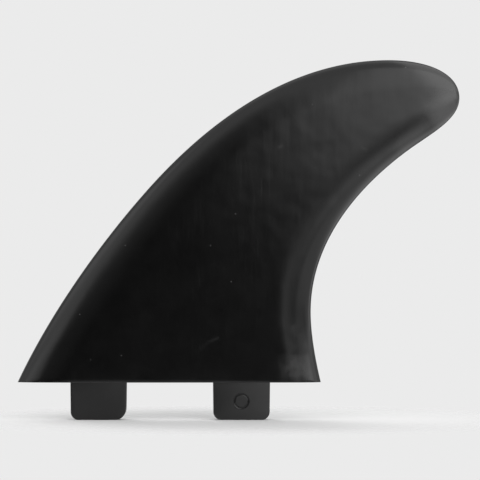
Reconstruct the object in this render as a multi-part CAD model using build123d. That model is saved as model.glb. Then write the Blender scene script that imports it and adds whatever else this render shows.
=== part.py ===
from build123d import *
import os
from math import cos, hypot, radians, sin

os.makedirs("parts", exist_ok=True)

# Surfboard fin, moulded in one piece: a swept-back foiled blade with two tabs under its base.
# Millimetres and degrees. +Z points out of the board, +X runs from the leading to the trailing edge,
# and the origin lies on the board's surface, midway between the tabs, in the blade's middle plane.

# Blade outline, seen square on
base_chord = 111.3
blade_depth = 118.2
blade_reach = 162.2  # from the foot of the leading edge back to the end of the tip
heel_lead = 56.0  # how far the blade starts ahead of the middle of the tabs
waist_inset = 3.7  # how far the hollow of the trailing edge reaches ahead of its foot

# Turning points of the outline, as shares of the reach and of the depth
brow_place = (0.300, 0.607)
crest_place = (0.840, 1.0)
tip_place = (1.0, 0.883)
hook_place = (0.881, 0.717)
waist_height = 0.218

# Slopes of the outline at those points
heel_slope = 65.0
brow_slope = 48.0
hook_slope = 36.5
foot_slope = 103.5

# Foil, the same on both faces
foil_thickness = 7.3
tip_thinning = 0.5  # share of the thickness lost between base and tip
tip_rounding = 18.0  # chord at which the round tip starts to thin the foil
nose_length = 20.0
tail_length = 15.0
tail_pull = 0.8  # share of the tail over which it holds on to the crown's slope
end_share = 0.45  # most that the nose or the tail may take of a short chord
crown_radius = 5600.0  # the gentle arc between nose and tail
edge_fullness = 0.24  # bluntness of the trailing edge, as a share of the tail's height
tip_fullness = 0.55  # the same at the tip, which is nearly an ellipse
closing_share = 0.997  # how far up its two edges the blade runs before the tip is closed

# How the foil is made up
section_count = 28
nose_cuts = (0.04, 0.12, 0.3)  # shares of the nose's curve at which one face meets the next
tail_cuts = (0.8, 0.9, 0.97)

# Tabs
tab_spacing = 52.4
tab_thickness = 5.9
tab_depth = 13.7
front_tab_length = 20.5
rear_tab_length = 20.9
tab_taper = 0.5  # slope of each end of a tab
tab_corner = 3.0
soft_corner = 4.0  # the rear lower corner of the front tab is rounder
tab_bevel = 0.4
pin_mark_diameter = 6.0
pin_mark_width = 0.9
pin_mark_depth = 0.25

# Pull of a curve's ends that makes a quarter of an ellipse
quarter_pull = 0.5523


def heading(angle):
    """The direction that climbs at this angle in the blade's middle plane."""
    return Vector(cos(radians(angle)), 0, sin(radians(angle)))


def sweep_curve(start, start_slope, end, end_slope, pulls):
    """One curve of the outline. The pulls say how far it keeps each end's slope, as shares of its span."""
    span = (end - start).length
    return Bezier(
        start,
        start + heading(start_slope) * span * pulls[0],
        end - heading(end_slope) * span * pulls[1],
        end,
    )


def outline_point(reach_share, depth_share):
    return Vector(blade_reach * reach_share - heel_lead, 0, blade_depth * depth_share)


def blade_edges():
    """Leading and trailing edge, each from the base up and round to the end of the tip."""
    heel = outline_point(0, 0)
    brow = outline_point(*brow_place)
    crest = outline_point(*crest_place)
    tip = outline_point(*tip_place)
    hook = outline_point(*hook_place)
    foot = heel + Vector(base_chord, 0, 0)
    waist = foot + Vector(-waist_inset, 0, blade_depth * waist_height)
    leading_edge = Wire([
        sweep_curve(heel, heel_slope, brow, brow_slope, (0.32, 0.31)),
        sweep_curve(brow, brow_slope, crest, 0, (0.35, 0.35)),
        sweep_curve(crest, 0, tip, -90, (0.535, 0.285)),
    ])
    trailing_edge = Wire([
        sweep_curve(foot, foot_slope, waist, 90, (0.33, 0.31)),
        sweep_curve(waist, 90, hook, hook_slope, (0.39, 0.30)),
        sweep_curve(hook, hook_slope, tip, 90, (0.39, 0.295)),
    ])
    return leading_edge, trailing_edge


def level_off(value, limit):
    """Follows the value while it is small and settles at the limit when it is large."""
    return value * limit / hypot(value, limit)


def cut_up(curve, cuts):
    marks = [0, *cuts, 1]
    return [curve.trim(start, end) for start, end in zip(marks, marks[1:])]


def foil_half(leading_edge, trailing_edge, share):
    """Half a foil section at this share of the way up, with an elliptical nose and a long fine tail."""
    nose_point = leading_edge @ share
    span = (trailing_edge @ share) - nose_point
    chord = span.length
    along = span.normalized()

    thickness = foil_thickness * (1 - tip_thinning * share)
    height = level_off(chord, tip_rounding) / tip_rounding * thickness / 2
    nose = level_off(end_share * chord, nose_length)
    tail = level_off(end_share * chord, tail_length)
    crown = chord - nose - tail
    fall = crown / crown_radius
    shoulder = height - crown * fall / 2
    fullness = edge_fullness + (tip_fullness - edge_fullness) * share**2

    def spot(distance, rise):
        return nose_point + along * distance + Vector(0, rise, 0)

    nose_curve = Bezier(
        spot(0, 0),
        spot(0, height * quarter_pull),
        spot(nose * (1 - quarter_pull), height),
        spot(nose, height),
    )
    crown_curve = Bezier(
        spot(nose, height),
        spot(nose + crown / 3, height),
        spot(nose + crown * 2 / 3, shoulder + fall * crown / 3),
        spot(nose + crown, shoulder),
    )
    tail_curve = Bezier(
        spot(nose + crown, shoulder),
        spot(nose + crown + tail * tail_pull, shoulder - fall * tail * tail_pull),
        spot(chord, shoulder * fullness),
        spot(chord, 0),
    )
    return [*cut_up(nose_curve, nose_cuts), crown_curve, *cut_up(tail_curve, tail_cuts)]


def blade():
    """A loft through foil sections that fan out from the base and crowd together towards the tip."""
    edges = blade_edges()
    sections = []
    for i in range(section_count):
        share = closing_share * sin(radians(90 * i / (section_count - 1)))
        half = foil_half(*edges, share)
        other_half = [curve.mirror(Plane.XZ) for curve in half]
        sections.append(Face(Wire(half + other_half)))
    return loft(sections)


def tab(middle, length, rear_corner):
    """A flat tab under the base, a little narrower at its lower end, with rounded corners and bevelled rims."""
    lean = tab_depth * sin(radians(tab_taper))
    front = middle - length / 2
    rear = middle + length / 2
    side = FilletPolyline(
        (front, 0, 0),
        (front + lean, 0, -tab_depth),
        (rear - lean, 0, -tab_depth),
        (rear, 0, 0),
        radius=[tab_corner, rear_corner],
    )
    top = Line((rear, 0, 0), (front, 0, 0))
    body = extrude(make_face([*side.edges(), top]), tab_thickness / 2, dir=(0, 1, 0), both=True)
    rims = body.faces().filter_by(Axis.Y).edges().filter_by(lambda edge: edge.center().Z < 0)
    return chamfer(rims, tab_bevel)


def pin_mark(middle):
    """The shallow ring that a mould's ejector pin leaves in the near face of a tab."""
    face_centre = Location((middle, -tab_thickness / 2, -tab_depth / 2), (90, 0, 0))
    outer_radius = pin_mark_diameter / 2
    inner_radius = outer_radius - pin_mark_width
    height = 2 * pin_mark_depth
    return face_centre * (Cylinder(outer_radius, height) - Cylinder(inner_radius, height))


def fin():
    rear_middle = tab_spacing / 2
    front_tab = tab(-rear_middle, front_tab_length, soft_corner)
    rear_tab = tab(rear_middle, rear_tab_length, tab_corner)
    return blade() + front_tab + rear_tab - pin_mark(rear_middle)


export_step(fin(), "parts/fin.step")
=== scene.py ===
import math

import bmesh
import bpy
import numpy as np
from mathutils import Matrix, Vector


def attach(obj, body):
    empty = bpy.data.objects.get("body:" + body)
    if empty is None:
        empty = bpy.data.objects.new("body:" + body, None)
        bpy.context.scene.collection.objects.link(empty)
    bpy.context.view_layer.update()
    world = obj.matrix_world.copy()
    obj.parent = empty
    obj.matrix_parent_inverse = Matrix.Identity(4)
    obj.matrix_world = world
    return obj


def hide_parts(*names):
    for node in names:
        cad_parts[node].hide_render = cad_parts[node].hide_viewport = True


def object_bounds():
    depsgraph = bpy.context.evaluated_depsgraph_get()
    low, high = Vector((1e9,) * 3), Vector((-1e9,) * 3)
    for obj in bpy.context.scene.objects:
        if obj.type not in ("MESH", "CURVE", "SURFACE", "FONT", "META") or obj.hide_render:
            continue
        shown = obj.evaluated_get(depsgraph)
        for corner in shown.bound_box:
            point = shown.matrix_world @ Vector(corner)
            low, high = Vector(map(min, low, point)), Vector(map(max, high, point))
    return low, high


# A black surfboard fin, moulded in one piece: a swept-back foiled blade on two tabs.
# Metres, in the part's own frame: +Z out of the board, +X from the leading to the trailing edge, and
# the camera looks along +Y at the near face. The origin is on the board's surface between the tabs.

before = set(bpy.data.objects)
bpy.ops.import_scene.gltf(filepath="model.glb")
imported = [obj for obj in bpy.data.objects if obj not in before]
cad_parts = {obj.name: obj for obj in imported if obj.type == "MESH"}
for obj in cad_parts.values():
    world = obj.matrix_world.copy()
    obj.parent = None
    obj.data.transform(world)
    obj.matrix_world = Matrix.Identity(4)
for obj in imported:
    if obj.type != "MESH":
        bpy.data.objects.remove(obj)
cad_low, cad_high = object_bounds()
mm = 0.001

# Blade outline, seen square on
base_chord = 111.3 * mm
heel_x = cad_low.x  # the foot of the leading edge
blade_reach = cad_high.x - cad_low.x
blade_depth = cad_high.z
waist_inset = 3.7 * mm  # how far the hollow of the trailing edge reaches ahead of its foot

# Turning points of the outline, as shares of the reach and of the depth
brow_place = (0.300, 0.607)
crest_place = (0.840, 1.0)
tip_place = (1.0, 0.883)
hook_place = (0.881, 0.717)
waist_height = 0.218

# Slopes of the outline at those points, in degrees
heel_slope = 65.0
brow_slope = 48.0
hook_slope = 36.5
foot_slope = 103.5

# How far each curve of the outline keeps the slopes of its two ends, as shares of its span
heel_to_brow_pulls = (0.32, 0.31)
brow_to_crest_pulls = (0.35, 0.35)
crest_to_tip_pulls = (0.535, 0.285)
foot_to_waist_pulls = (0.33, 0.31)
waist_to_hook_pulls = (0.39, 0.30)
hook_to_tip_pulls = (0.39, 0.295)

# Foil, the same on both faces
foil_thickness = 7.3 * mm
tip_thinning = 0.5  # share of the thickness lost between base and tip
tip_rounding = 18.0 * mm  # chord at which the round tip starts to thin the foil
nose_length = 20.0 * mm
tail_length = 15.0 * mm
foot_tail_share = 0.78  # how much of its length the tail has at the base
foot_tail_power = 4  # the higher, the sooner it has its full length above the base
tail_pull = 0.8  # share of the tail over which it holds on to the crown's slope
end_share = 0.45  # most that the nose or the tail may take of a short chord
crown_radius = 5600.0 * mm  # the gentle arc between nose and tail
edge_fullness = 0.24  # bluntness of the trailing edge, as a share of the tail's height
tip_fullness = 0.55  # the same at the tip, which is nearly an ellipse
quarter_pull = 0.5523  # pull of a curve's ends that makes a quarter of an ellipse
base_edge_radius = 0.12 * mm

# Tabs
tab_spacing = 52.4 * mm
tab_thickness = 5.9 * mm
tab_depth = -cad_low.z
front_tab_length = 20.5 * mm
rear_tab_length = 20.9 * mm
tab_taper = 0.5  # slope of each end of a tab, in degrees
tab_corner = 3.0 * mm
soft_corner = 4.0 * mm  # the rear lower corner of the front tab is rounder
tab_rim = 0.4 * mm  # radius of the rounding along a tab's faces
pin_mark_radius = 3.0 * mm
pin_mark_width = 0.9 * mm
pin_mark_depth = 0.25 * mm
pin_mark_squareness = 6  # an even power: the higher, the flatter its floor and the steeper its walls

# Fineness of the mesh
outline_steps = 3000
rows_up = 200
nose_columns = 26
crown_columns = 22
tail_columns = 26
end_crowding = 1.6  # how much closer the columns lie at the two edges
corner_steps = 14
rim_steps = 6
mark_steps = 64
sharp_angle = 35  # edges that turn by more degrees than this stay crisp

# Finish
satin_slot = 1  # the tabs' material comes after the blade's
blade_finish = {
    "ior": 1.58,
    "roughness": 0.13,
    "grain_size": 0.6 * mm,
    "grain_height": 0.001 * mm,
    "wear_and_light_roughness": 0.24,
    "wear_and_light_grey": 0.07,
}
tab_finish = {
    "ior": 1.5,
    "roughness": 0.31,
    "grain_size": 0.4 * mm,
    "grain_height": 0.01 * mm,
    "wear_and_light_roughness": 0.46,
    "wear_and_light_grey": 0.017,
}
noise_range = (0.3, 0.7)  # where most values of a noise lie
tone_size, tone_range = 30 * mm, (0.0018, 0.003)  # drift of the black
gloss_size, gloss_range = 6 * mm, (0.96, 1.06)  # drift of the roughness
wave_size, wave_height = 9 * mm, 0.045 * mm  # slight unevenness of the moulded face
streak_width, streak_length, streak_height = 3 * mm, 30 * mm, 0.008 * mm
hairline_width, hairline_length, hairline_depth = 0.25 * mm, 14 * mm, 0.001 * mm
hairline_lean = 28.0
hairline_range = (0.66, 0.72)  # a noise this high makes a hairline
hairline_dulling = 1.2

# Wear and painted light, from 0 for clean black to 1 for pale
speck_spacing, speck_radius = 13 * mm, 0.3 * mm
speck_range, speck_wear = (0.55, 0.75), (0, 0.65)  # how a spot's random number sets how much it shows
patch_size, patch_range = 3 * mm, (0.3, 1.0)  # size of its patches, and how much shows in them
tip_run = (86 * mm, 104 * mm)  # from where to where the thin edges grow paler towards the tip, with wear and a painted highlight
tip_wear_and_highlight = (0.03, 0.26)  # how pale it is before that and after it
thin_range = (0.4 * mm, 1.4 * mm)  # half thicknesses between which that paleness fades away
tab_light_run = (tab_spacing / 5, tab_spacing * 4 / 5)  # from where to where the tabs are painted paler and duller, as if lit more from the right
near_face_start = -0.6 * mm  # from here to the blade's middle plane the marks fade away
mark_softness = 0.8  # as a share of a mark's width
# Marks on the near face, in millimetres: where each starts and ends in x and z, its width, how much
# it shows and how patchy it is
face_marks = (
    ((45.3, 1.5), (44.9, 9.0), 7.5, 0.4, 0.7),
    ((49.0, 2.0), (47.0, 8.0), 4.0, 0.33, 0.8),
    ((47.0, 10.0), (45.5, 22.0), 4.0, 0.1, 1.0),
    ((11.0, 12.3), (14.6, 15.0), 1.2, 0.11, 1.0),
    ((14.0, 14.7), (18.0, 16.6), 1.1, 0.09, 1.0),
    ((39.5, 86.0), (41.5, 86.8), 1.0, 0.13, 1.0),
    ((70.0, 86.3), (72.2, 85.0), 0.7, 0.23, 1.0),
    # The last two, at the tip, are pale wear that also paints the tip's highlight.
    ((84.0, 85.0), (101.0, 102.5), 5.5, 0.23, 0.2),
    ((96.0, 96.0), (105.0, 104.0), 9.0, 0.8, 0.2),
)

# Light, placed in degrees from the camera's axis, to the right and up
paper_white = 0.831  # what the camera sees behind the fin
tent_level = 0.69
# The upper left border of the dim gap, in two steps: lean, distance from the axis, softness and share
gap_left_steps = (
    (5, 9, 7, 0.14),
    (32, 21, 14, 0.86),
)
gap_right_lean = 0.62  # how far its right border moves left for each degree up
gap_right_place = (2.9, 6.7)  # from where to where that border fades
gap_foot = (-40, -20)  # heights between which the gap fades downwards
# Soft boxes, and black cards with a strength below zero, by their left and right side, their foot and
# top, their softness and their strength
soft_boxes = (
    (-67, -7, -4, 20, 10, 0.1),
    (1.6, 42, 3, 25, 3, 0.6),
    (8, 63, 3.5, 61, 3, 1.24),
    (-7, 79, -47, -22, 22, 1.2),
    (66, 79, -56, 24, 22, 1.2),
    (-55, -29, 19, 32, 9, 0.45),
    (-40, -21, 4, 11.5, 3, 0.35),
    (-56, 73, 46, 92, 22, 0.5),
    (-21, 14, -35, -6.5, 12, 1.34),
    (10, 43, -2.5, 4, 5, -0.3),
    (36, 80, 4.5, 13, 4, -0.75),
    (-0.5, 20, -10, 0, 5, -0.3),
    (14, 50, 0.5, 4, 3, -0.3),
    (-16, -2, -10, 0, 3, -0.22),
)

# Table and camera
table_half_width, table_half_depth = 125 * mm, 80 * mm
table_white = 0.745
table_segments = 96
table_fade = (0.45, 1)  # shares of the way out to the rim between which it fades out
camera_distance = 900 * mm
nearest_seen = 10 * mm
view_width = 176.2 * mm  # in the blade's middle plane
view_centre = (25.65 * mm, 52.17 * mm)


def heading(angle):
    """The direction that climbs at this angle, as x and z."""
    return np.array((math.cos(math.radians(angle)), math.sin(math.radians(angle))))


def sweep_curve(start, start_slope, end, end_slope, pulls):
    """Bézier points of one curve of the outline. The pulls say how far it keeps each end's slope."""
    span = np.linalg.norm(end - start)
    start_pull = start + heading(start_slope) * span * pulls[0]
    end_pull = end - heading(end_slope) * span * pulls[1]
    return start, start_pull, end_pull, end


def on_curve(curve, steps):
    """Points of one curve at these steps from 0 to 1."""
    start, start_pull, end_pull, end = (np.array(point) for point in curve)
    t = np.asarray(steps)[:, None]
    return (
        start * (1 - t) ** 3
        + 3 * start_pull * t * (1 - t) ** 2
        + 3 * end_pull * t**2 * (1 - t)
        + end * t**3
    )


def at_shares(curves, shares):
    """Points at these shares of the length of a chain of curves."""
    line = np.concatenate([on_curve(curve, np.linspace(0, 1, outline_steps)) for curve in curves])
    lengths = np.concatenate([[0], np.cumsum(np.linalg.norm(np.diff(line, axis=0), axis=1))])
    wanted = shares * lengths[-1]
    across = np.interp(wanted, lengths, line[:, 0])
    up = np.interp(wanted, lengths, line[:, 1])
    return np.stack([across, up], axis=1)


def outline_point(reach_share, depth_share):
    return np.array((heel_x + blade_reach * reach_share, blade_depth * depth_share))


def blade_edges():
    """Leading and trailing edge in x and z, each from the base up and round to the end of the tip."""
    heel = outline_point(0, 0)
    brow = outline_point(*brow_place)
    crest = outline_point(*crest_place)
    tip = outline_point(*tip_place)
    hook = outline_point(*hook_place)
    foot = heel + np.array((base_chord, 0))
    waist = foot + np.array((-waist_inset, blade_depth * waist_height))
    leading_edge = [
        sweep_curve(heel, heel_slope, brow, brow_slope, heel_to_brow_pulls),
        sweep_curve(brow, brow_slope, crest, 0, brow_to_crest_pulls),
        sweep_curve(crest, 0, tip, -90, crest_to_tip_pulls),
    ]
    trailing_edge = [
        sweep_curve(foot, foot_slope, waist, 90, foot_to_waist_pulls),
        sweep_curve(waist, 90, hook, hook_slope, waist_to_hook_pulls),
        sweep_curve(hook, hook_slope, tip, 90, hook_to_tip_pulls),
    ]
    return leading_edge, trailing_edge


def level_off(value, limit):
    """Follows the value while it is small and settles at the limit when it is large."""
    return value * limit / math.hypot(value, limit)


def foil_half(chord, share):
    """Half a foil section from nose to trailing edge, as distances along the chord and heights."""
    thickness = foil_thickness * (1 - tip_thinning * share)
    height = level_off(chord, tip_rounding) / tip_rounding * thickness / 2
    nose = level_off(end_share * chord, nose_length)
    full_tail = tail_length * (1 - (1 - foot_tail_share) * (1 - share) ** foot_tail_power)
    tail = level_off(end_share * chord, full_tail)
    crown = chord - nose - tail
    fall = crown / crown_radius
    shoulder = height - crown * fall / 2
    fullness = edge_fullness + (tip_fullness - edge_fullness) * share**2
    nose_curve = (
        (0, 0),
        (0, height * quarter_pull),
        (nose * (1 - quarter_pull), height),
        (nose, height),
    )
    crown_curve = (
        (nose, height),
        (nose + crown / 3, height),
        (nose + crown * 2 / 3, shoulder + fall * crown / 3),
        (nose + crown, shoulder),
    )
    tail_curve = (
        (nose + crown, shoulder),
        (nose + crown + tail * tail_pull, shoulder - fall * tail * tail_pull),
        (chord, shoulder * fullness),
        (chord, 0),
    )
    nose_steps = np.linspace(0, 1, nose_columns) ** end_crowding
    crown_steps = np.linspace(0, 1, crown_columns)
    tail_steps = 1 - np.linspace(1, 0, tail_columns) ** end_crowding
    return np.concatenate([
        on_curve(nose_curve, nose_steps),
        on_curve(crown_curve, crown_steps)[1:],
        on_curve(tail_curve, tail_steps)[1:],
    ])


def foil_ring(nose_point, tail_point, share):
    """A whole section as a closed ring: back along the near face, then forward along the far face."""
    span = tail_point - nose_point
    chord = np.linalg.norm(span)
    half = foil_half(chord, share)
    spots = nose_point + span / chord * half[:, :1]
    near = np.stack([spots[:, 0], -half[:, 1], spots[:, 1]], axis=1)
    far = near * (1, -1, 1)
    return np.concatenate([near, far[-2:0:-1]])


def add_ring(shape, points):
    return [shape.verts.new(point) for point in points]


def bridge(shape, lower, upper):
    """Quads between two closed rings."""
    for i in range(len(lower)):
        after = (i + 1) % len(lower)
        shape.faces.new((lower[i], lower[after], upper[after], upper[i]))


def fill(shape, rings):
    """Flat faces inside the first ring, with the other rings as its holes."""
    edges = []
    for ring in rings:
        for vertex, after in zip(ring, ring[1:] + ring[:1]):
            edges.append(shape.edges.get((vertex, after)) or shape.edges.new((vertex, after)))
    filled = bmesh.ops.triangle_fill(shape, use_beauty=True, edges=edges)["geom"]
    return [part for part in filled if isinstance(part, bmesh.types.BMFace)]


def blade_skin(shape):
    """The foil from its base to its tip. Gives back the ring where it meets the flat base."""
    shares = np.sin(np.linspace(0, math.pi / 2, rows_up))
    first_share = base_edge_radius / blade_depth
    shares = np.concatenate([[0, first_share], shares[1:-1]])
    edges = [at_shares(curves, shares) for curves in blade_edges()]
    rings = [foil_ring(nose, tail, share) for nose, tail, share in zip(*edges, shares)]

    # The lower edge is slightly rounded, from the second ring round to an inset one in the flat base
    corner = rings[0]
    middle = corner.mean(axis=0)
    shrink = (1 - 2 * base_edge_radius / base_chord, 1 - 2 * base_edge_radius / foil_thickness, 1)
    inset = middle + (corner - middle) * shrink
    base_rings = []
    for t in np.linspace(1, 0, rim_steps):
        rounded = rings[1] * (1 - t) ** 2 + 2 * corner * t * (1 - t) + inset * t**2
        base_rings.append(add_ring(shape, rounded))
    skin = base_rings + [add_ring(shape, ring) for ring in rings[2:]]
    for lower, upper in zip(skin, skin[1:]):
        bridge(shape, lower, upper)
    tip = outline_point(*tip_place)
    tip_end = shape.verts.new((tip[0], 0, tip[1]))
    for vertex, after in zip(skin[-1], skin[-1][1:] + skin[-1][:1]):
        shape.faces.new((vertex, after, tip_end))
    return base_rings[0]


def tab_side(front, rear, rear_corner):
    """A tab's edge in x and z, from its front root round to its rear root, and its inward normals."""
    lean = tab_depth * math.sin(math.radians(tab_taper))
    spots, inward = [(front, 0)], [(1, 0)]
    corners = ((front + lean, tab_corner, 1), (rear - lean, rear_corner, -1))
    for x, radius, side in corners:
        centre = np.array((x + side * radius, radius - tab_depth))
        start, end = (180, 270) if side > 0 else (270, 360)
        for angle in np.linspace(start, end, corner_steps):
            spots.append(centre + radius * heading(angle))
            inward.append(-heading(angle))
    spots.append((rear, 0))
    inward.append((-1, 0))
    return np.array(spots), np.array(inward)


def add_pin_mark(shape, middle):
    """The shallow ring of a mould's ejector pin in a tab's near face. Gives back its outer edge."""
    turns = [heading(360 * i / mark_steps) for i in range(mark_steps)]
    rings = []
    for angle in np.linspace(0, 180, 2 * rim_steps + 1):
        across = heading(angle)[0]
        radius = pin_mark_radius - pin_mark_width * (1 - across) / 2
        y = pin_mark_depth * (1 - across**pin_mark_squareness) - tab_thickness / 2
        spots = [(middle + radius * x, y, radius * z - tab_depth / 2) for x, z in turns]
        rings.append(add_ring(shape, spots))
    for outer, inner in zip(rings, rings[1:]):
        bridge(shape, outer, inner)
    shape.faces.new(rings[-1]).material_index = satin_slot
    return rings[0]


def add_tab(shape, middle, length, rear_corner, marked):
    """A flat tab with rounded corners and rims. Gives back the ring where it meets the base."""
    spots, inward = tab_side(middle - length / 2, middle + length / 2, rear_corner)
    belt = []
    for angle in np.linspace(0, 90, rim_steps):
        rise, inset = (1 - heading(angle)) * tab_rim
        belt.append((inset, rise - tab_thickness / 2))
    belt += [(inset, -y) for inset, y in reversed(belt)]
    strips = []
    for inset, y in belt:
        line = spots + inward * inset
        strips.append(add_ring(shape, [(x, y, z) for x, z in line]))
    near_face, far_face = strips[0], strips[-1]
    holes = [add_pin_mark(shape, middle)] if marked else []
    faces = fill(shape, [near_face] + holes) + fill(shape, [far_face])
    for strip, after in zip(strips, strips[1:]):
        for i in range(len(strip) - 1):
            faces.append(shape.faces.new((strip[i], after[i], after[i + 1], strip[i + 1])))
    for face in faces:
        face.material_index = satin_slot
    return [strip[0] for strip in strips] + [strip[-1] for strip in reversed(strips)]


def make_fin():
    """The whole fin as one closed mesh."""
    shape = bmesh.new()
    base = blade_skin(shape)
    rear_middle = tab_spacing / 2
    front_root = add_tab(shape, -rear_middle, front_tab_length, soft_corner, False)
    rear_root = add_tab(shape, rear_middle, rear_tab_length, tab_corner, True)
    fill(shape, [base, front_root, rear_root])
    bmesh.ops.recalc_face_normals(shape, faces=shape.faces)
    for face in shape.faces:
        face.smooth = True
    mesh = bpy.data.meshes.new("fin_skin")
    shape.to_mesh(mesh)
    shape.free()
    mesh.set_sharp_from_angle(angle=math.radians(sharp_angle))
    piece = bpy.data.objects.new("fin_skin", mesh)
    bpy.context.scene.collection.objects.link(piece)
    return piece


def grey(level):
    return (level, level, level, 1)


class Nodes:
    """A material's or the world's nodes, made and linked in one call each."""

    def __init__(self, owner):
        owner.use_nodes = True
        self.tree = owner.node_tree
        self.tree.nodes.clear()

    def make(self, kind, inputs, output=0, **settings):
        node = self.tree.nodes.new("ShaderNode" + kind)
        for name, value in settings.items():
            setattr(node, name, value)
        for name, value in inputs.items():
            if isinstance(value, bpy.types.NodeSocket):
                self.tree.links.new(value, node.inputs[name])
            else:
                node.inputs[name].default_value = value
        return node.outputs[output] if node.outputs else node

    def math(self, operation, *values):
        return self.make("Math", dict(enumerate(values)), operation=operation)

    def product(self, first, *others):
        for other in others:
            first = self.math("MULTIPLY", first, other)
        return first

    def blend(self, share, at_none, at_full):
        """From one value to the other as the share goes from 0 to 1."""
        return self.make("MapRange", {"Value": share, "To Min": at_none, "To Max": at_full})

    def ramp(self, value, low, high, at_low=0.0, at_high=1.0):
        """A smooth step from one value to another."""
        inputs = {
            "Value": value,
            "From Min": low,
            "From Max": high,
            "To Min": at_low,
            "To Max": at_high,
        }
        return self.make("MapRange", inputs, interpolation_type="SMOOTHSTEP")

    def window(self, value, low, high, softness):
        """1 between the two values and 0 outside them, with soft ends."""
        half = softness / 2
        opened = self.ramp(value, low - half, low + half)
        not_closed = self.ramp(value, high - half, high + half, 1, 0)
        return self.product(opened, not_closed)

    def dot(self, place, direction):
        inputs = {0: place, 1: direction}
        return self.make("VectorMath", inputs, output="Value", operation="DOT_PRODUCT")

    def noise(self, place, size, detail=3.0):
        return self.make("TexNoise", {"Vector": place, "Scale": 1 / size, "Detail": detail})

    def drawn_out(self, place, width, length, lean=0.0):
        """Noise in fine lines of this width and length that lean from the upright."""
        turn = self.make("Mapping", {
            "Vector": place,
            "Rotation": (0, math.radians(lean), 0),
            "Scale": (1 / width, 1 / width, 1 / length),
        })
        return self.make("TexNoise", {"Vector": turn, "Scale": 1.0, "Detail": 1.0})

    def mark(self, place, start, end, width):
        """A patch along a line between two spots of a face, with soft edges."""
        run = np.subtract(end, start)
        length = np.linalg.norm(run)
        x, z = run / length
        ahead = self.dot(place, (x, 0, z))
        aside = self.dot(place, (-z, 0, x))
        line_start = start[0] * x + start[1] * z
        line_side = start[1] * x - start[0] * z
        softness = width * mark_softness
        long_way = self.window(ahead, line_start, line_start + length, softness)
        cross_way = self.window(aside, line_side - width / 2, line_side + width / 2, softness)
        return self.product(long_way, cross_way)


def blade_wear_and_highlight(nodes, place):
    """Paleness of the blade: the marks on its near face, dust specks on both faces, and the worn tip,
    whose paleness is also a painted highlight.
    """
    x, y, z = nodes.make("SeparateXYZ", {"Vector": place}).node.outputs
    patchy = nodes.ramp(nodes.noise(place, patch_size), *noise_range, *patch_range)
    near_face = nodes.ramp(y, near_face_start, 0, 1, 0)
    wear_and_light = 0.0
    for start, end, width, strength, patchiness in face_marks:
        mark = nodes.mark(place, np.multiply(start, mm), np.multiply(end, mm), width * mm)
        shown = nodes.product(mark, strength, nodes.blend(patchiness, 1, patchy))
        wear_and_light = nodes.math("MAXIMUM", wear_and_light, shown)
    wear_and_light = nodes.product(wear_and_light, near_face)

    own_x = nodes.math("ADD", x, nodes.math("SIGN", y))  # far apart, so each face has its own specks
    cells = {"Vector": nodes.make("CombineXYZ", {"X": own_x, "Y": z}), "Scale": 1 / speck_spacing}
    distance = nodes.make("TexVoronoi", cells, output="Distance", voronoi_dimensions="2D")
    chance = nodes.make("TexVoronoi", cells, output="Color", voronoi_dimensions="2D")
    size = speck_radius / speck_spacing
    spot = nodes.ramp(distance, size / 2, size, 1, 0)
    speck = nodes.product(spot, nodes.ramp(chance, *speck_range, *speck_wear))
    wear_and_light = nodes.math("MAXIMUM", wear_and_light, speck)

    # The thin edges grow paler towards the tip: wear, and a painted highlight.
    thin = nodes.ramp(nodes.math("ABSOLUTE", y), *thin_range, 1, 0)
    tip = nodes.ramp(x, *tip_run, *tip_wear_and_highlight)
    return nodes.math("MAXIMUM", wear_and_light, nodes.product(thin, tip, patchy))


def tab_painted_light(nodes, place):
    """Painted light on the tabs: none on the front one, and paler and duller more and more towards the
    rear of the rear one, as if lit more from the right.
    """
    rearward = nodes.make("SeparateXYZ", {"Vector": place}, output="X")
    return nodes.ramp(rearward, *tab_light_run)


def plastic(name, wear_and_light_at, ior, roughness, grain_size, grain_height, wear_and_light_roughness, wear_and_light_grey):
    """Black moulded plastic with waves, flow marks, hairlines and grain, dull and pale where worn and
    where light is painted on.
    """
    material = bpy.data.materials.new(name)
    nodes = Nodes(material)
    place = nodes.make("TexCoord", {}, output="Object")
    wear_and_light = wear_and_light_at(nodes, place)
    lines = nodes.drawn_out(place, hairline_width, hairline_length, hairline_lean)
    hairline = nodes.ramp(lines, *hairline_range)

    tone = nodes.ramp(nodes.noise(place, tone_size), *noise_range, *tone_range)
    # Paler with wear and dust, and with painted light: the tip's highlight and the lighter rear of the
    # rear tab.
    tone = nodes.blend(wear_and_light, tone, wear_and_light_grey)
    drift = nodes.ramp(nodes.noise(place, gloss_size), *noise_range, *gloss_range)
    dullness = nodes.blend(wear_and_light, roughness, wear_and_light_roughness)
    dullness = nodes.product(dullness, drift, nodes.blend(hairline, 1, hairline_dulling))

    wave = nodes.product(nodes.noise(place, wave_size, detail=1.0), wave_height)
    streak = nodes.product(nodes.drawn_out(place, streak_width, streak_length), streak_height)
    grain = nodes.product(nodes.noise(place, grain_size), grain_height)
    height = nodes.math("ADD", nodes.math("ADD", wave, streak), grain)
    height = nodes.math("SUBTRACT", height, nodes.product(hairline, hairline_depth))
    shader = nodes.make("BsdfPrincipled", {
        "Base Color": nodes.make("CombineColor", {"Red": tone, "Green": tone, "Blue": tone}),
        "Roughness": dullness,
        "IOR": ior,
        "Normal": nodes.make("Bump", {"Height": height, "Distance": 1.0, "Strength": 1.0}),
    })
    nodes.make("OutputMaterial", {"Surface": shader})
    return material


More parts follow.
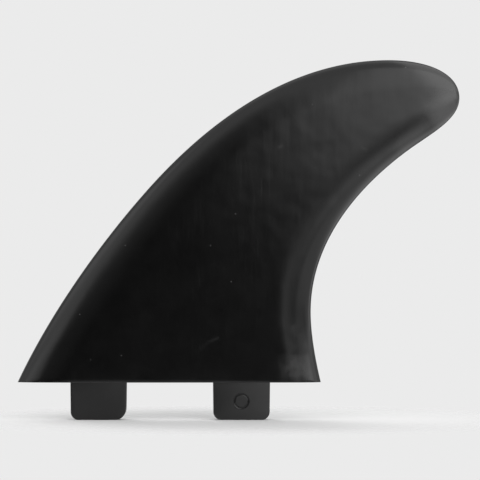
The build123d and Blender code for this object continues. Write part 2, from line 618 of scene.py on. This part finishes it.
def light_tent():
    """Soft white light all round, the same from behind, turned half round. The blade's middle mirrors a
    dim gap about the camera, and the tip and the edges mirror brighter soft boxes."""
    world = bpy.data.worlds.new("light_tent")
    bpy.context.scene.world = world
    nodes = Nodes(world)
    direction = nodes.make("TexCoord", {}, output="Generated")
    right, away, up = nodes.make("SeparateXYZ", {"Vector": direction}).node.outputs
    sideways = nodes.math("DIVIDE", right, nodes.product(away, -1))
    across = nodes.math("DEGREES", nodes.math("ARCTANGENT", sideways))
    rise = nodes.math("DEGREES", nodes.math("ARCSINE", up))

    gap = 0.0
    for lean, place, softness, share in gap_left_steps:
        aside, upright = heading(90 + lean)
        height = nodes.math("MULTIPLY_ADD", across, aside, nodes.product(rise, upright))
        opened = nodes.ramp(height, place - softness / 2, place + softness / 2, share, 0)
        gap = nodes.math("ADD", gap, opened)
    past_right = nodes.math("MULTIPLY_ADD", rise, gap_right_lean, across)
    left_part = nodes.ramp(past_right, *gap_right_place, 1, 0)
    gap = nodes.product(gap, left_part, nodes.ramp(rise, *gap_foot))
    level = nodes.blend(gap, tent_level, 0)
    for left, right, foot, top, softness, strength in soft_boxes:
        sides = nodes.window(across, left, right, softness)
        ends = nodes.window(rise, foot, top, softness)
        level = nodes.math("MULTIPLY_ADD", nodes.product(sides, ends), strength, level)

    level = nodes.math("MAXIMUM", level, 0)
    seen = nodes.make("LightPath", {}, output="Is Camera Ray")
    light = nodes.make("Background", {"Color": grey(1), "Strength": level})
    paper = nodes.make("Background", {"Color": grey(paper_white), "Strength": 1.0})
    mixed = nodes.make("MixShader", {0: seen, 1: light, 2: paper})
    nodes.make("OutputWorld", {"Surface": mixed})


def table_top():
    """A pale oval table under the tabs, which fades out towards its rim."""
    shape = bmesh.new()
    bmesh.ops.create_circle(shape, cap_ends=True, segments=table_segments, radius=1)
    bmesh.ops.scale(shape, vec=(table_half_width, table_half_depth, 1), verts=shape.verts)
    mesh = bpy.data.meshes.new("table")
    shape.to_mesh(mesh)
    shape.free()
    table = bpy.data.objects.new("table", mesh)
    table.location = (view_centre[0], 0, -tab_depth)
    bpy.context.scene.collection.objects.link(table)
    material = bpy.data.materials.new("pale_board")
    nodes = Nodes(material)
    place = nodes.make("TexCoord", {}, output="Object")
    to_rim = (1 / table_half_width, 1 / table_half_depth, 1)
    spread = nodes.make("Mapping", {"Vector": place, "Scale": to_rim})
    reach = nodes.make("VectorMath", {0: spread}, output="Value", operation="LENGTH")
    faded = nodes.ramp(reach, *table_fade)
    board = nodes.make("BsdfDiffuse", {"Color": grey(table_white)})
    open_air = nodes.make("BsdfTransparent", {})
    mixed = nodes.make("MixShader", {0: faded, 1: board, 2: open_air})
    nodes.make("OutputMaterial", {"Surface": mixed})
    mesh.materials.append(material)


def make_camera():
    """A camera square on to the near face."""
    lens = bpy.data.cameras.new("camera")
    lens.lens = lens.sensor_width * camera_distance / view_width
    lens.clip_start = nearest_seen
    camera = bpy.data.objects.new("camera", lens)
    camera.location = (view_centre[0], -camera_distance, view_centre[1])
    camera.rotation_euler = (math.radians(90), 0, 0)
    bpy.context.scene.collection.objects.link(camera)
    bpy.context.scene.camera = camera


fin = make_fin()
fin.data.materials.append(plastic("blade_gloss", blade_wear_and_highlight, **blade_finish))
fin.data.materials.append(plastic("tab_satin", tab_painted_light, **tab_finish))
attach(fin, "root")
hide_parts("fin")

table_top()
light_tent()
make_camera()
bpy.context.scene.view_settings.view_transform = "Standard"
